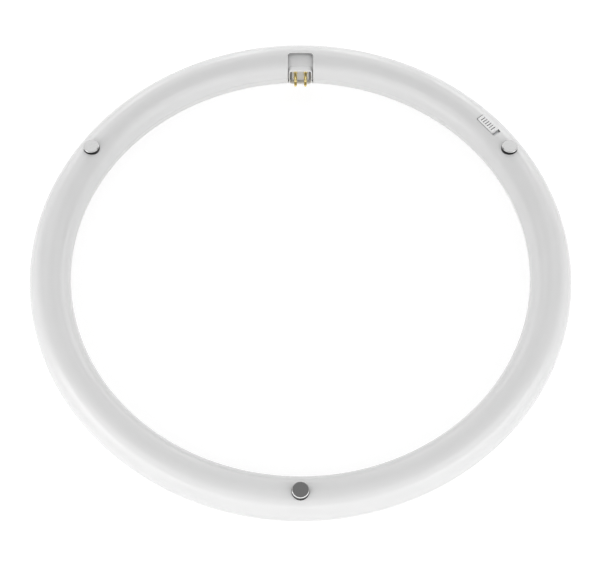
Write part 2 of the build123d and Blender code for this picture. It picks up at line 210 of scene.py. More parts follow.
# Stage and light
floor_size = 12.0
floor_tone = 0.9
shadow_tone = 0.3
glow_span = (0.5, 1.8)
glow_limits = (0.8, 0.92)
sky_light = 0.30
horizon_span = (0.12, 0.22)
near_strip = {"reach": 0.42, "height": 0.10, "width": 0.2, "depth": 0.12}
far_strip = {"reach": 1.2, "height": 0.5, "width": 0.6, "depth": 0.4}
high_strip = {"reach": 0.8, "height": 0.8, "width": 0.45, "depth": 0.4}
corner_angles = (200, 228, 312, 340)
middle_angles = (256, 284)
left_angles = (205,)
side_angles = (-20, 8, 36, 144, 172, 200)
back_angles = (52, 71, 90, 109, 128)
lamp_rows = (
    ("corner_near", corner_angles, near_strip, 0.82),
    ("corner_far", corner_angles, far_strip, 1.43),
    ("corner_high", corner_angles, high_strip, 1.0),
    ("middle_near", middle_angles, near_strip, 0.60),
    ("middle_far", middle_angles, far_strip, 1.30),
    ("middle_high", middle_angles, high_strip, 0.63),
    ("left_near", left_angles, near_strip, 0.60),
    ("side_near", side_angles, near_strip, 0.58),
    ("back_near", back_angles, near_strip, 0.70),
    ("back_far", back_angles, far_strip, 0.81),
    ("back_high", back_angles, high_strip, 0.50),
)

# Camera, with its elevation in degrees and its lens in millimetres
camera_elevation = 60.82
camera_distance = 0.9914
camera_target = Vector((-0.00036, -0.01801, axis_height))
camera_lens = 80.77
camera_sensor = 36.0


def activate(piece):
    """Make a piece the only selected object."""
    bpy.ops.object.select_all(action="DESELECT")
    piece.select_set(True)
    bpy.context.view_layer.objects.active = piece


def add_primitive(name, operator, **sizes):
    """Add one of the primitives with nothing else selected."""
    bpy.ops.object.select_all(action="DESELECT")
    operator(**sizes)
    piece = bpy.context.object
    piece.name = name
    return piece


def edit(piece):
    """Open a piece in edit mode, selected all over."""
    activate(piece)
    bpy.ops.object.mode_set(mode="EDIT")
    bpy.ops.mesh.select_all(action="SELECT")


def close_edit():
    """Merge what coincides, turn the faces outwards and leave edit mode."""
    bpy.ops.mesh.select_all(action="SELECT")
    bpy.ops.mesh.remove_doubles(threshold=merge_distance)
    bpy.ops.mesh.normals_make_consistent(inside=False)
    bpy.ops.object.mode_set(mode="OBJECT")


def pick_faces(piece, wanted):
    """Select the faces whose centre and normal pass a test, from edit mode."""
    bpy.ops.mesh.select_mode(type="FACE")
    bpy.ops.mesh.select_all(action="DESELECT")
    bpy.ops.object.mode_set(mode="OBJECT")
    for face in piece.data.polygons:
        face.select = wanted(face.center, face.normal)
    bpy.ops.object.mode_set(mode="EDIT")


def pick_edges(piece, wanted):
    """Select the edges whose two ends pass a test, from edit mode."""
    bpy.ops.mesh.select_mode(type="EDGE")
    bpy.ops.mesh.select_all(action="DESELECT")
    bpy.ops.object.mode_set(mode="OBJECT")
    points = piece.data.vertices
    for edge in piece.data.edges:
        first, second = edge.vertices
        edge.select = wanted(points[first].co, points[second].co)
    bpy.ops.object.mode_set(mode="EDIT")


def raise_faces(rise):
    """Extrude the selected faces straight up, or down where the rise is negative."""
    bpy.ops.mesh.extrude_region_move(TRANSFORM_OT_translate={"value": (0, 0, rise)})


def slice_through(place, normal, clear=False):
    """Cut the whole mesh by a plane and, where asked, clear its outer side and close the cut."""
    bpy.ops.mesh.select_all(action="SELECT")
    bpy.ops.mesh.bisect(
        plane_co=place, plane_no=normal, use_fill=clear, clear_outer=clear, threshold=cut_tolerance
    )


def spin(turn, steps, centre, axis):
    """Spin the selection by the right-hand rule. The operator itself turns the other way."""
    bpy.ops.mesh.spin(steps=steps, angle=-turn, center=centre, axis=axis)


def close_ends():
    """Fill the open ends that a part turn leaves."""
    bpy.ops.mesh.select_all(action="SELECT")
    bpy.ops.mesh.fill_holes(sides=0)


def start_outline(name, point):
    """New mesh in edit mode that holds one selected vertex, ready to be drawn on."""
    piece = add_primitive(name, bpy.ops.mesh.primitive_plane_add, size=1.0)
    edit(piece)
    bpy.ops.mesh.select_mode(type="VERT")
    bpy.ops.mesh.merge(type="CENTER")
    bpy.ops.transform.translate(value=point)
    return piece


def draw_lines(*points):
    """Draw straight lines through points. The first is where the outline has got to."""
    for here, there in zip(points, points[1:]):
        bpy.ops.mesh.extrude_vertices_move(TRANSFORM_OT_translate={"value": Vector(there) - Vector(here)})


def turn_outline(name, points, turn, steps, centre, axis):
    """Draw an outline through points and spin it. Edit mode stays open."""
    piece = start_outline(name, points[0])
    draw_lines(*points)
    bpy.ops.mesh.select_all(action="SELECT")
    spin(turn, steps, centre, axis)
    return piece


def combine(piece, operation, *others):
    """Join, cut or intersect a piece with others, which are used up."""
    for other in others:
        activate(piece)
        modifier = piece.modifiers.new("combine", "BOOLEAN")
        modifier.operation = operation
        modifier.solver = "MANIFOLD"
        modifier.object = other
        bpy.ops.object.modifier_apply(modifier=modifier.name)
        bpy.data.meshes.remove(other.data)
    return piece


def bevel_edges(piece, width, segments, angle):
    """Round every edge that is sharper than an angle."""
    activate(piece)
    modifier = piece.modifiers.new("edges", "BEVEL")
    modifier.width = width
    modifier.segments = segments
    modifier.limit_method = "ANGLE"
    modifier.angle_limit = radians(angle)
    bpy.ops.object.modifier_apply(modifier=modifier.name)


def smooth(piece, angle=32.0):
    """Smooth shading, kept sharp at edges over an angle."""
    activate(piece)
    bpy.ops.object.shade_smooth_by_angle(angle=radians(angle))


def settle(piece, place):
    """Move a piece's mesh to its place, so that its object stays at the origin."""
    activate(piece)
    piece.matrix_world = place
    bpy.ops.object.transform_apply(location=True, rotation=True, scale=True)


def copy_of(piece):
    """Copy of a piece with a mesh of its own."""
    activate(piece)
    bpy.ops.object.duplicate(linked=False)
    return bpy.context.object


def tube_matrix(angle, out=0.0, along=0.0):
    """Place on the tube at a ring angle: x points outwards, y along the ring and z up."""
    turn = Matrix.Rotation(radians(angle), 4, "Z")
    return turn @ Matrix.Translation((ring_radius + out, along, axis_height))


def plug_matrix(across=0.0, up=0.0, out=0.0):
    """Place on the plug: x points across its face, y up and z out of it."""
    turn = Matrix.Translation(swivel_centre) @ Matrix.Rotation(pi / 2, 4, "X")
    return turn @ Matrix.Translation((across, up, out))


def upright_cylinder(name, radius, low, high, place, vertices=post_steps):
    """Plain round stock for joining and cutting, between two heights above its place."""
    depth = high - low
    piece = add_primitive(
        name, bpy.ops.mesh.primitive_cylinder_add, vertices=vertices, radius=radius, depth=depth
    )
    settle(piece, place @ Matrix.Translation((0, 0, (low + high) / 2)))
    return piece


def flat_plate(name, width, length, corner, segments=8):
    """Flat face with rounded corners, selected in edit mode."""
    piece = add_primitive(name, bpy.ops.mesh.primitive_plane_add, size=1.0)
    edit(piece)
    bpy.ops.transform.resize(value=(width, length, 1))
    bpy.ops.mesh.bevel(offset=corner, segments=segments, affect="VERTICES")
    bpy.ops.mesh.select_all(action="SELECT")
    bpy.ops.mesh.select_mode(type="FACE")
    return piece


def flat_disc(name, radius):
    """Flat round face, selected in edit mode."""
    piece = add_primitive(
        name, bpy.ops.mesh.primitive_circle_add, vertices=disc_steps, radius=radius, fill_type="NGON"
    )
    edit(piece)
    bpy.ops.mesh.select_mode(type="FACE")
    return piece


def lip_spread(lip):
    """How much wider than its hole a cutter starts on each side."""
    return lip * (1 - sin(lip_first_turn))


def sink_cutter(lip, depth):
    """Make the flat face a cutter that is wider at the surface, rounds in over a lip and sinks to a depth."""
    bpy.ops.transform.translate(value=(0, 0, cutter_rise))
    raise_faces(-cutter_rise - lip * (1 - cos(lip_first_turn)))
    turns = [lip_first_turn + (pi / 2 - lip_first_turn) * step / lip_steps for step in range(lip_steps + 1)]
    for here, there in zip(turns, turns[1:]):
        bpy.ops.mesh.inset(thickness=lip * (sin(there) - sin(here)), depth=-lip * (cos(here) - cos(there)))
    raise_faces(lip - depth)
    close_edit()


def divide(piece):
    """Cut a flat cutter's faces along a square grid, so that it can follow the round tube."""
    edit(piece)
    for axis in (0, 1):
        normal = [0, 0, 0]
        normal[axis] = 1
        count = int(max(point.co[axis] for point in piece.data.vertices) / grid_step)
        for index in range(-count, count + 1):
            place = [0, 0, 0]
            place[axis] = index * grid_step
            slice_through(place, normal)
    close_edit()


def lay_round_tube(piece, ring_angle, tube_angle):
    """Lay a flat cutter on the tube's surface, with its depth pointing at the tube's axis."""
    turn_ring = Matrix.Rotation(radians(ring_angle), 3, "Z")
    for point in piece.data.vertices:
        along, across, rise = point.co
        turn = radians(tube_angle) + across / tube_radius
        out = ring_radius + (tube_radius + rise) * cos(turn)
        up = axis_height + (tube_radius + rise) * sin(turn)
        point.co = turn_ring @ Vector((sqrt(out**2 - along**2), along, up))


def drop_on_crown(piece, ring_angle, floor):
    """Drop a flat cutter on the tube's crown, with upright walls down to a level floor."""
    turn_ring = Matrix.Rotation(radians(ring_angle), 3, "Z")
    lowest = min(point.co.z for point in piece.data.vertices)
    for point in piece.data.vertices:
        out, along, rise = point.co
        reach = sqrt((ring_radius + out) ** 2 + along**2) - ring_radius
        up = sqrt(tube_radius**2 - reach**2) + rise
        if rise < lowest + level_tolerance:
            up = floor
        point.co = turn_ring @ Vector((ring_radius + out, along, axis_height + up))


def slot_cutter():
    """Cutter for the slot in which the plug block swings."""
    spread = lip_spread(slot_lip)
    low, high = slot_angles
    width = slot_width + 2 * spread
    length = radians(high - low) * tube_radius + 2 * spread
    cutter = flat_plate("slot_cutter", width, length, slot_corner + spread)
    sink_cutter(slot_lip, slot_depth)
    divide(cutter)
    # The slot's angles count from the ring's inner side, and the tube's from its outer side
    lay_round_tube(cutter, plug_angle, full_turn / 2 - (low + high) / 2)
    return cutter


def window_cutter():
    """Cutter for the slider's window on the crown."""
    spread = lip_spread(window_lip)
    width = window_width + 2 * spread
    length = window_length + 2 * spread
    cutter = flat_plate("window_cutter", width, length, slider_corner + spread)
    sink_cutter(window_lip, crown_sink)
    divide(cutter)
    drop_on_crown(cutter, switch_angle, window_floor)
    return cutter


def pocket_cutter(angle):
    """Cutter for one magnet's pocket."""
    cutter = flat_disc("pocket_cutter", pocket_radius + lip_spread(pocket_lip))
    sink_cutter(pocket_lip, crown_sink)
    drop_on_crown(cutter, angle, magnet_seat)
    return cutter


def core_ring():
    """Solid ring that fills the bore and bites into its wall."""
    ring = add_primitive(
        "core_ring", bpy.ops.mesh.primitive_torus_add,
        major_radius=ring_radius, minor_radius=core_radius,
        major_segments=core_steps, minor_segments=post_steps,
    )
    settle(ring, Matrix.Translation((0, 0, axis_height)))
    return ring


def ledge_gap():
    """Cutter that clears the ledges from the plug's bay."""
    low, high = ledge_gap_angles
    bay = add_primitive(
        "ledge_gap", bpy.ops.mesh.primitive_circle_add,
        vertices=disc_steps, radius=bore_radius + bay_clearance, fill_type="NOTHING",
    )
    settle(bay, tube_matrix(low) @ Matrix.Rotation(pi / 2, 4, "X"))
    edit(bay)
    spin(radians(high - low), bay_steps, origin, upwards)
    close_ends()
    close_edit()
    return bay


def bulkhead(side, upper):
    """Wall across the bore with half of a trunnion's bearing."""
    half = bulkhead_thickness / 2
    station = side * (bulkhead_face + half)
    centre = Vector((station, sqrt(ring_radius**2 - station**2), axis_height))
    lying = Matrix.Rotation(pi / 2, 4, "Y")
    wall = upright_cylinder(
        "bulkhead", core_radius, -half, half, Matrix.Translation(centre) @ lying, disc_steps
    )
    edit(wall)
    if upper:
        slice_through((0, 0, axis_height), (0, 0, -1), clear=True)
        for direction in (-1, 1):
            edge = ring_radius + direction * bulkhead_half_width
            slice_through((0, edge, 0), (0, direction, 0), clear=True)
    else:
        slice_through((0, 0, axis_height - seam_gap), upwards, clear=True)
    close_edit()
    swivel_axis = Matrix.Translation(swivel_centre) @ lying
    bearing = upright_cylinder(
        "bearing", bearing_radius, -trunnion_tip, trunnion_tip, swivel_axis, bearing_steps
    )
    return combine(wall, "DIFFERENCE", bearing)


def section_point(out, up):
    """Point of the tube's section at ring angle 0, from the tube's axis."""
    return Vector((ring_radius + out, 0, axis_height + up))


def section_arc(turn, steps):
    """Draw an arc about the tube's axis, turning from outwards to upwards."""
    spin(turn, steps, section_point(0, 0), (0, -1, 0))


def spin_ring():
    """Spin the drawn section all the way round, more finely where something stands on the tube."""
    bpy.ops.mesh.select_all(action="SELECT")
    reached = 0.0
    for low, high in (*fine_arcs, (full_turn, full_turn)):
        spin(radians(low - reached), round((low - reached) / coarse_step), origin, upwards)
        if high > low:
            spin(radians(high - low), round((high - low) / fine_step), origin, upwards)
        reached = high
    close_edit()


def back_housing():
    """Upper half shell with its rebate, ledges, cups, posts, bulkheads and cut-outs."""
    rebate_turn = asin(ledge_level / rebate_radius)
    rebate_out = rebate_radius * cos(rebate_turn)
    ledge_tip = sqrt(bore_radius**2 - ledge_level**2) - ledge_reach
    ledge_top = ledge_level + ledge_thickness
    ledge_turn = asin(ledge_top / bore_radius)
    ledge_root = bore_radius * cos(ledge_turn)
    ledge = [(rebate_out, ledge_level), (ledge_tip, ledge_level)]
    ledge += [(ledge_tip, ledge_top), (ledge_root, ledge_top)]
    shell = start_outline("housing_shell", section_point(tube_radius, 0))
    section_arc(pi, arc_steps)
    draw_lines(section_point(-tube_radius, 0), section_point(-rebate_radius, 0))
    section_arc(-rebate_turn, rebate_steps)
    draw_lines(*[section_point(-out, up) for out, up in ledge])
    section_arc(2 * ledge_turn - pi, bore_steps)
    draw_lines(*[section_point(out, up) for out, up in reversed(ledge)])
    section_arc(-rebate_turn, rebate_steps)
    draw_lines(section_point(rebate_radius, 0), section_point(tube_radius, 0))
    spin_ring()

    combine(shell, "DIFFERENCE", ledge_gap())
    for angle in magnet_angles.values():
        cup = upright_cylinder("cup", cup_radius, magnet_seat - cup_floor, tube_radius, tube_matrix(angle))
        combine(shell, "UNION", combine(cup, "INTERSECT", core_ring()))
    for angle in post_angles:
        post = upright_cylinder("post", post_radius, post_low, tube_radius, tube_matrix(angle, post_offset))
        combine(shell, "UNION", combine(post, "INTERSECT", core_ring()))
    combine(shell, "UNION", bulkhead(-1, upper=True), bulkhead(1, upper=True))
    for angle in magnet_angles.values():
        combine(shell, "DIFFERENCE", pocket_cutter(angle))
    combine(shell, "DIFFERENCE", window_cutter(), slot_cutter())
    smooth(shell)
    return shell


def front_diffuser():
    """Lower half shell with the tongue of the lap joint and the lower bulkheads."""
    seam_turn = asin(seam_gap / tube_radius)
    root_turn = asin(seam_gap / tongue_radius)
    tip_turn = asin(tongue_height / tongue_radius)
    inner_turn = asin(tongue_height / bore_radius)
    outer_edge = tube_radius * cos(seam_turn)
    root = tongue_radius * cos(root_turn)
    tip = tongue_radius * cos(tip_turn)
    inner = bore_radius * cos(inner_turn)
    shell = start_outline("diffuser_shell", section_point(outer_edge, -seam_gap))
    section_arc(2 * seam_turn - pi, arc_steps)
    draw_lines(section_point(-outer_edge, -seam_gap), section_point(-root, -seam_gap))
    section_arc(-root_turn - tip_turn, rebate_steps)
    draw_lines(section_point(-tip, tongue_height), section_point(-inner, tongue_height))
    section_arc(pi + 2 * inner_turn, bore_steps)
    draw_lines(section_point(inner, tongue_height), section_point(tip, tongue_height))
    section_arc(-root_turn - tip_turn, rebate_steps)
    draw_lines(section_point(root, -seam_gap), section_point(outer_edge, -seam_gap))
    spin_ring()

    combine(shell, "UNION", bulkhead(-1, upper=False), bulkhead(1, upper=False))
    combine(shell, "DIFFERENCE", slot_cutter())
    smooth(shell)
    return shell


def swivel_point(along, reach, turn):
    """Point about the swivel's axis: turn 0 points out of the plug's face, and more turns it upwards."""
    return Vector((along, ring_radius - reach * cos(turn), axis_height + reach * sin(turn)))


def swivel_bush(side):
    """Hub and hollow trunnion at one end of the drum."""
    half = drum_half * side
    inner = drum_inner_half * side
    tip = trunnion_tip * side
    outline = [(inner, trunnion_bore), (inner, hub_radius), (half, hub_radius), (half, trunnion_radius)]
    outline += [(tip, trunnion_radius), (tip, trunnion_bore), (inner, trunnion_bore)]
    points = [swivel_point(along, reach, 0) for along, reach in outline]
    bush = turn_outline("swivel_bush", points, 2 * pi, post_steps, swivel_centre, (1, 0, 0))
    close_edit()
    return bush


def plug_block():
    """Rimmed block with a moat round the raised pedestal that carries the pins."""
    block = flat_plate("plug_block", plug_width, plug_height, plug_corner, segments=10)
    bpy.ops.transform.translate(value=(0, 0, block_back))
    raise_faces(plug_face - block_back)
    bpy.ops.mesh.inset(thickness=rim_side)
    even_height = plug_height - 2 * rim_side
    well_height = plug_height - rim_side - rim_top
    bpy.ops.transform.resize(value=(1, well_height / even_height, 1))
    bpy.ops.transform.translate(value=(0, (rim_side - rim_top) / 2, 0))
    raise_faces(moat_level - plug_face)
    bpy.ops.mesh.inset(thickness=moat_width)
    raise_faces(pedestal_level - moat_level)
    close_edit()
    bevel_edges(block, rim_edge, segments=3, angle=50)
    settle(block, plug_matrix())
    return block


def block_seat():
    """Cutter that opens the barrel where the block stands in it."""
    seat = flat_plate("block_seat", plug_width - rim_side, plug_height - rim_side, plug_corner - rim_side / 2)
    raise_faces(plug_face)
    close_edit()
    settle(seat, plug_matrix(out=(block_back + moat_level) / 2))
    return seat


def plug_drum():
    """Crowned half barrel with its end discs, bushes and block."""
    cover = radians(drum_cover)
    sagitta = ring_radius - sqrt(ring_radius**2 - drum_half**2)
    inner_radius = drum_radius - sagitta - drum_wall
    outline = [(-drum_half, trunnion_radius)]
    for step in range(crown_steps + 1):
        along = drum_half * (2 * step / crown_steps - 1)
        outline.append((along, drum_radius - ring_radius + sqrt(ring_radius**2 - along**2)))
    outline += [(drum_half, trunnion_radius), (drum_inner_half, trunnion_radius)]
    outline += [(drum_inner_half, inner_radius), (-drum_inner_half, inner_radius)]
    outline += [(-drum_inner_half, trunnion_radius), (-drum_half, trunnion_radius)]
    points = [swivel_point(along, reach, -cover) for along, reach in outline]
    drum = turn_outline("drum_body", points, 2 * cover, drum_steps, swivel_centre, (-1, 0, 0))
    close_ends()
    close_edit()
    combine(drum, "DIFFERENCE", block_seat())
    combine(drum, "UNION", swivel_bush(-1), swivel_bush(1), plug_block())
    for across, up in pin_places:
        place = plug_matrix(across, up)
        hole = upright_cylinder("pin_hole", pin_hole_radius, 0, plug_face, place, pin_steps)
        combine(drum, "DIFFERENCE", hole)
    smooth(drum)
    return drum


def contact_pin():
    """Turned pin with a flared collar, a rounded tip and a thinner tail, on its own axis."""
    collar_top = pedestal_level + pin_collar
    flare_out = pin_collar_radius - pin_edge - pin_radius
    shoulder = pin_end - pin_tip
    nose = pin_tip_radius / 2
    outline = [(0, pin_tail_end), (pin_tail_radius, pin_tail_end), (pin_tail_radius, pedestal_level)]
    outline += [(pin_collar_radius, pedestal_level), (pin_collar_radius, collar_top - pin_edge)]
    outline.append((pin_collar_radius - pin_edge, collar_top))
    for step in range(1, flare_steps + 1):
        turn = pi / 2 * step / flare_steps
        outline.append((pin_radius + flare_out * (1 - sin(turn)), collar_top + pin_flare * (1 - cos(turn))))
    for step in range(tip_steps + 1):
        share = step / tip_steps
        reach = pin_tip_radius + (pin_radius - pin_tip_radius) * sqrt(1 - share**2)
        outline.append((reach, shoulder + (pin_tip - nose) * share))
    for step in range(1, nose_steps + 1):
        turn = pi / 2 * step / nose_steps
        outline.append((pin_tip_radius * cos(turn), pin_end - nose * (1 - sin(turn))))
    points = [Vector((reach, 0, height)) for reach, height in outline]
    pin = turn_outline("contact_pin", points, 2 * pi, pin_steps, origin, upwards)
    close_edit()
    smooth(pin)
    return pin


def disc_magnet():
    """Disc with a chamfered upper rim and finely broken edges, on its own axis."""
    place = Matrix.Identity(4)
    disc = upright_cylinder("disc_magnet", magnet_radius, magnet_seat, magnet_top, place, disc_steps)
    edit(disc)
    pick_edges(disc, lambda first, second: min(first.z, second.z) > magnet_top - level_tolerance)
    bpy.ops.mesh.bevel(offset=magnet_chamfer, segments=1, affect="EDGES")
    close_edit()
    bevel_edges(disc, magnet_edge, segments=3, angle=30)
    edit(disc)
    pick_faces(disc, lambda centre, normal: normal.z > facing_up)
    bpy.ops.mesh.inset(thickness=magnet_edge)
    close_edit()
    smooth(disc, angle=25.0)
    return disc


def in_groove(centre, normal):
    """Whether a face of the slider's top lies in one of its grooves."""
    near = min(abs(centre.y - groove) for groove in groove_places)
    return normal.z > facing_up and abs(centre.x) < groove_half and near < groove_width / 2


def switch_slider():
    """Slider cap with rounded edges and a row of finger grooves, over its stem."""
    cap_height = slider_top - slider_low
    middle = (slider_low + slider_top) / 2
    cap = add_primitive("slider_cap", bpy.ops.mesh.primitive_cube_add, size=1.0)
    edit(cap)
    bpy.ops.transform.resize(value=(slider_width, slider_length, cap_height))
    bpy.ops.transform.translate(value=(0, 0, middle))
    pick_edges(cap, lambda first, second: abs(first.z - second.z) > cap_height / 2)
    bpy.ops.mesh.bevel(offset=slider_corner, segments=6, affect="EDGES")
    pick_edges(cap, lambda first, second: min(first.z, second.z) > slider_top - level_tolerance)
    bpy.ops.mesh.bevel(offset=slider_edge, segments=5, affect="EDGES")
    for side in (-1, 1):
        slice_through((side * groove_half, 0, 0), (1, 0, 0))
    for groove in groove_places:
        for side in (-1, 1):
            slice_through((0, groove + side * groove_width / 2, 0), (0, 1, 0))
    pick_faces(cap, in_groove)
    raise_faces(-groove_depth)
    close_edit()
    bevel_edges(cap, slider_fine_edge, segments=2, angle=50)

    stem = add_primitive("slider_stem", bpy.ops.mesh.primitive_cube_add, size=1.0)
    size = Matrix.Diagonal((stem_width, stem_length, middle - stem_low, 1))
    settle(stem, Matrix.Translation((0, 0, (stem_low + middle) / 2)) @ size)
    combine(cap, "UNION", stem)
    smooth(cap)
    settle(cap, tube_matrix(switch_angle, along=slider_shift))
    return cap


def feed(tree, socket, value):
    """Set an input socket to a number, or link it to an output socket."""
    if isinstance(value, (int, float)):
        socket.default_value = value
    else:
        tree.links.new(value, socket)


def math_node(tree, operation, first, second=0.0):
    """Math node whose inputs are sockets or numbers."""
    node = tree.nodes.new("ShaderNodeMath")
    node.operation = operation
    feed(tree, node.inputs[0], first)
    feed(tree, node.inputs[1], second)
    return node.outputs[0]


def vector_node(tree, operation, first, second=None):
    """Vector math node on a socket and, where it needs one, a fixed vector."""
    node = tree.nodes.new("ShaderNodeVectorMath")
    node.operation = operation
    tree.links.new(first, node.inputs[0])
    if second is not None:
        node.inputs[1].default_value = second
    return node.outputs


def diagonal(tree, first, second):
    """Length of the diagonal over two lengths."""
    squares = [math_node(tree, "MULTIPLY", length, length) for length in (first, second)]
    return math_node(tree, "SQRT", math_node(tree, "ADD", *squares))


def noise(tree, place, scale, detail):
    """Noise texture on given coordinates."""
    texture = tree.nodes.new("ShaderNodeTexNoise")
    texture.inputs["Detail"].default_value = detail
    feed(tree, texture.inputs["Scale"], scale)
    tree.links.new(place, texture.inputs["Vector"])
    return texture.outputs["Fac"]


def stretch_noise(tree, value, low, high):
    """Map a noise value from its usual middle range to low and high."""
    node = tree.nodes.new("ShaderNodeMapRange")
    node.inputs["From Min"].default_value = noise_low
    node.inputs["From Max"].default_value = noise_high
    tree.links.new(value, node.inputs["Value"])
    feed(tree, node.inputs["To Min"], low)
    feed(tree, node.inputs["To Max"], high)
    return node.outputs["Result"]


def new_group(name, inputs, outputs):
    """Empty shader node group with named sockets."""
    group = bpy.data.node_groups.new(name, "ShaderNodeTree")
    for kind, sockets in (("INPUT", inputs), ("OUTPUT", outputs)):
        for socket, type_name in sockets.items():
            group.interface.new_socket(socket, in_out=kind, socket_type=type_name)
    return group, group.nodes.new("NodeGroupInput"), group.nodes.new("NodeGroupOutput")


def surface_group():
    """Shared finish: slight mottling of the colour, uneven gloss and a fine grain."""
    tint = "NodeSocketColor"
    number = "NodeSocketFloat"
    inputs = {
        "Colour": tint, "Mottle": number, "Gloss low": number, "Gloss high": number, "Grain size": number,
    }
    outputs = {"Colour": tint, "Roughness": number, "Height": number}
    group, source, result = new_group("moulded_finish", inputs, outputs)
    place = group.nodes.new("ShaderNodeTexCoord").outputs["Object"]
    cloud = noise(group, place, cloud_scale, detail=4.0)
    fine = noise(group, place, fine_scale, detail=3.0)
    grain = noise(group, place, source.outputs["Grain size"], detail=2.0)
    least = math_node(group, "SUBTRACT", 1.0, source.outputs["Mottle"])
    mottle = group.nodes.new("ShaderNodeMix")
    mottle.data_type = "RGBA"
    mottle.blend_type = "MULTIPLY"
    mottle.inputs["Factor"].default_value = 1.0
    group.links.new(source.outputs["Colour"], mottle.inputs["A"])
    group.links.new(stretch_noise(group, cloud, least, 1.0), mottle.inputs["B"])
    both = math_node(group, "MULTIPLY", math_node(group, "ADD", cloud, fine), 0.5)
    gloss = stretch_noise(group, both, source.outputs["Gloss low"], source.outputs["Gloss high"])
    group.links.new(mottle.outputs["Result"], result.inputs["Colour"])
    group.links.new(gloss, result.inputs["Roughness"])
    group.links.new(grain, result.inputs["Height"])
    return group


def new_material(name):
    """Material with its shader and an empty tree round it."""
    material = bpy.data.materials.new(name)
    material.use_nodes = True
    tree = material.node_tree
    shader = tree.nodes["Principled BSDF"]
    return material, tree, shader


def surface(name, colour, gloss, mottle=0.02, grain=2500.0, bump=0.02, metal=0.0, specular=0.5):
    """Material of one finish: colour, range of roughness and how its grain stands."""
    material, tree, shader = new_material(name)
    finish = tree.nodes.new("ShaderNodeGroup")
    finish.node_tree = moulded_finish
    finish.inputs["Colour"].default_value = (*colour, 1.0)
    finish.inputs["Mottle"].default_value = mottle
    finish.inputs["Gloss low"].default_value = gloss[0]
    finish.inputs["Gloss high"].default_value = gloss[1]
    finish.inputs["Grain size"].default_value = grain
    relief = tree.nodes.new("ShaderNodeBump")
    relief.inputs["Strength"].default_value = bump
    relief.inputs["Distance"].default_value = grain_depth
    tree.links.new(finish.outputs["Height"], relief.inputs["Height"])
    tree.links.new(finish.outputs["Colour"], shader.inputs["Base Color"])
    tree.links.new(finish.outputs["Roughness"], shader.inputs["Roughness"])
    tree.links.new(relief.outputs["Normal"], shader.inputs["Normal"])
    shader.inputs["Metallic"].default_value = metal
    shader.inputs["Specular IOR Level"].default_value = specular
    return material


def tones_from(level, steps):
    """Stops for grey tones at given offsets from a level."""
    return [(level + offset, tone) for offset, tone in steps]


def tone_by_value(material, measure, span, tones):
    """Let a material's colour follow a measure on the object, through grey tones at given stops."""
    tree = material.node_tree
    low, high = span
    share = tree.nodes.new("ShaderNodeMapRange")
    share.inputs["From Min"].default_value = low
    share.inputs["From Max"].default_value = high
    tree.links.new(measure(tree), share.inputs["Value"])
    ramp = tree.nodes.new("ShaderNodeValToRGB")
    stops = ramp.color_ramp.elements
    stops.remove(stops[1])
    for index, (place, tone) in enumerate(tones):
        position = (place - low) / (high - low)
        stop = stops.new(position) if index else stops[0]
        stop.position = position
        stop.color = (tone, tone, tone, 1.0)
    tree.links.new(share.outputs["Result"], ramp.inputs["Fac"])
    finish = next(node for node in tree.nodes if node.type == "GROUP")
    tree.links.new(ramp.outputs["Color"], finish.inputs["Colour"])


def object_place(tree, centre=origin):
    """Place on the object, measured from a centre."""
    place = tree.nodes.new("ShaderNodeTexCoord").outputs["Object"]
    return vector_node(tree, "SUBTRACT", place, centre)["Vector"]


def object_parts(tree, centre=origin):
    """Place on the object from a centre, as three numbers."""
    parts = tree.nodes.new("ShaderNodeSeparateXYZ")
    tree.links.new(object_place(tree, centre), parts.inputs[0])
    return parts.outputs


def distance_across(tree, centre, axes):
    """Distance from a line through a centre. The axes hold 1 for each direction that counts."""
    flat = vector_node(tree, "MULTIPLY", object_place(tree, centre), axes)["Vector"]
    return vector_node(tree, "LENGTH", flat)["Value"]


def swivel_distance(tree):
    """Distance from the swivel's axis."""
    return distance_across(tree, swivel_centre, (0, 1, 1))


def well_depth(tree):
    """Distance from the swivel's axis, or the depth along the pins inside the block's well."""
    parts = object_parts(tree, swivel_centre)
    corner = plug_corner - rim_side / 2
    past_straight = []
    for axis, size in (("X", plug_width), ("Z", plug_height)):
        reach = math_node(tree, "ABSOLUTE", parts[axis])
        past = math_node(tree, "SUBTRACT", reach, (size - rim_side) / 2 - corner)
        past_straight.append(math_node(tree, "MAXIMUM", past, 0.0))
    past_rim = math_node(tree, "SUBTRACT", diagonal(tree, *past_straight), corner)
    outside = math_node(tree, "MULTIPLY", math_node(tree, "MAXIMUM", past_rim, 0.0), well_steepness)
    depth = math_node(tree, "SUBTRACT", outside, parts["Y"])
    return math_node(tree, "MINIMUM", swivel_distance(tree), depth)


def height_above_floor(tree):
    """Height on the object."""
    return object_parts(tree)["Z"]


def offset_from_crown(tree):
    """Signed distance outwards from the tube's crown line, seen from above."""
    return math_node(tree, "SUBTRACT", distance_across(tree, origin, (1, 1, 0)), ring_radius)


def tube_distance(tree):
    """Distance from the tube's centre line."""
    rise = math_node(tree, "SUBTRACT", height_above_floor(tree), axis_height)
    return diagonal(tree, rise, offset_from_crown(tree))


def along_slider(tree):
    """Signed distance along the slider from its middle."""
    turn = radians(switch_angle)
    middle = tube_matrix(switch_angle, along=slider_shift).translation
    return vector_node(tree, "DOT_PRODUCT", object_place(tree, middle), (-sin(turn), cos(turn), 0))["Value"]


